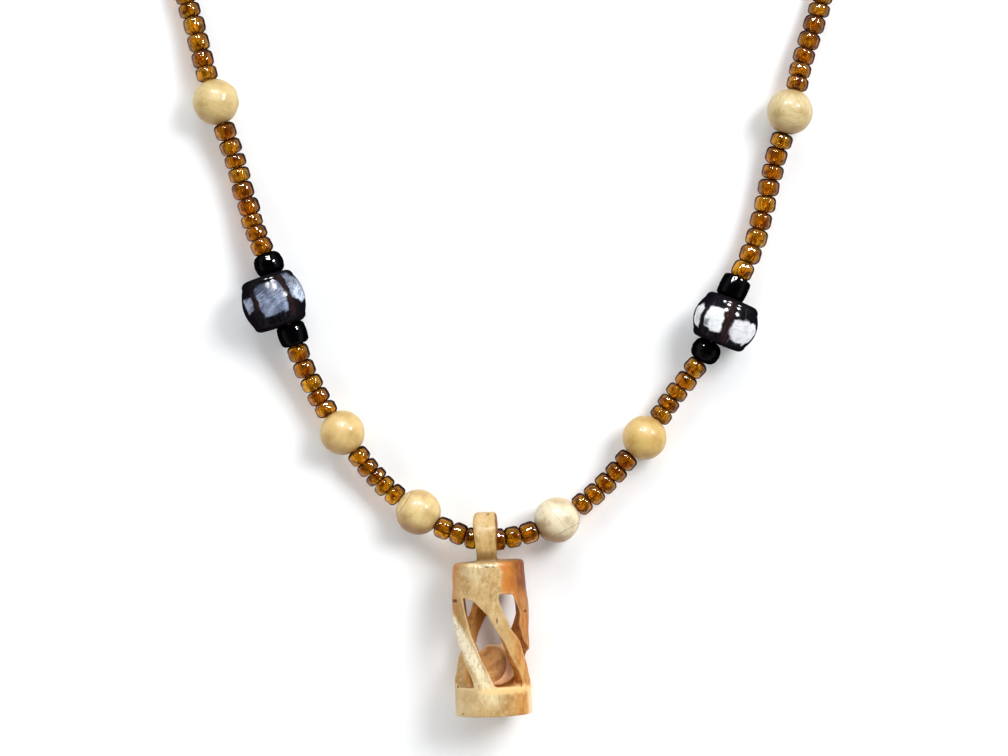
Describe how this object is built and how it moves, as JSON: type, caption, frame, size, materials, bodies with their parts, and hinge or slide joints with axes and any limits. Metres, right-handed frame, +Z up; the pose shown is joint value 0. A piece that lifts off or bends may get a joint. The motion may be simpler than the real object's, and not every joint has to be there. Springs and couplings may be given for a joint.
{
  "type": "bead necklace with carved ivory cage pendant",
  "caption": "Bead necklace laid flat, with a carved cage pendant on its bail and a loose ball that slides inside the cage behind spiral bars.",
  "frame": {"origin": "on the surface that the necklace lies on, at the middle of its footprint", "axes": "+Z up from the surface; +Y from the pendant to the clasp; +X to the right, seen from above"},
  "size_m": [0.1385, 0.232, 0.0138],
  "materials": {
    "pendant_ivory": "old carved ivory, worn semi-gloss, stained orange-brown on one side",
    "ball_ivory": "carved ivory, stained brown in its hollows",
    "bead_ivory": "polished ivory, cream to yellow",
    "banded_stone": "polished dark stone with pale patches and brown stripes",
    "black_glass": "glossy black glass",
    "amber_glass": "glossy amber-brown glass",
    "thread": "twisted beading thread",
    "clasp_metal": "plain satin metal"
  },
  "bodies": {
    "necklace": {"cage": "pendant_ivory", "thread": "thread", "clasp": "clasp_metal", "ivory_bead_1": "bead_ivory", "ivory_bead_2": "bead_ivory", "ivory_bead_3": "bead_ivory", "ivory_bead_4": "bead_ivory", "ivory_bead_5": "bead_ivory", "ivory_bead_6": "bead_ivory", "banded_bead_1": "banded_stone", "banded_bead_2": "banded_stone", "black_bead_1": "black_glass", "black_bead_2": "black_glass", "black_bead_3": "black_glass", "black_bead_4": "black_glass", "seed_run_1": "amber_glass", "seed_run_2": "amber_glass", "seed_run_3": "amber_glass", "seed_run_4": "amber_glass", "seed_run_5": "amber_glass", "seed_run_6": "amber_glass", "seed_run_7": "amber_glass", "seed_run_8": "amber_glass", "seed_run_9": "amber_glass"},
    "ball": {"cage_ball": "ball_ivory"}
  },
  "joints": [
    {"name": "ball_slide", "type": "slide", "parent": "necklace", "child": "ball", "axis": [-0.0401, 0.9992, 0], "range_m": [0, 0.009]}
  ]
}
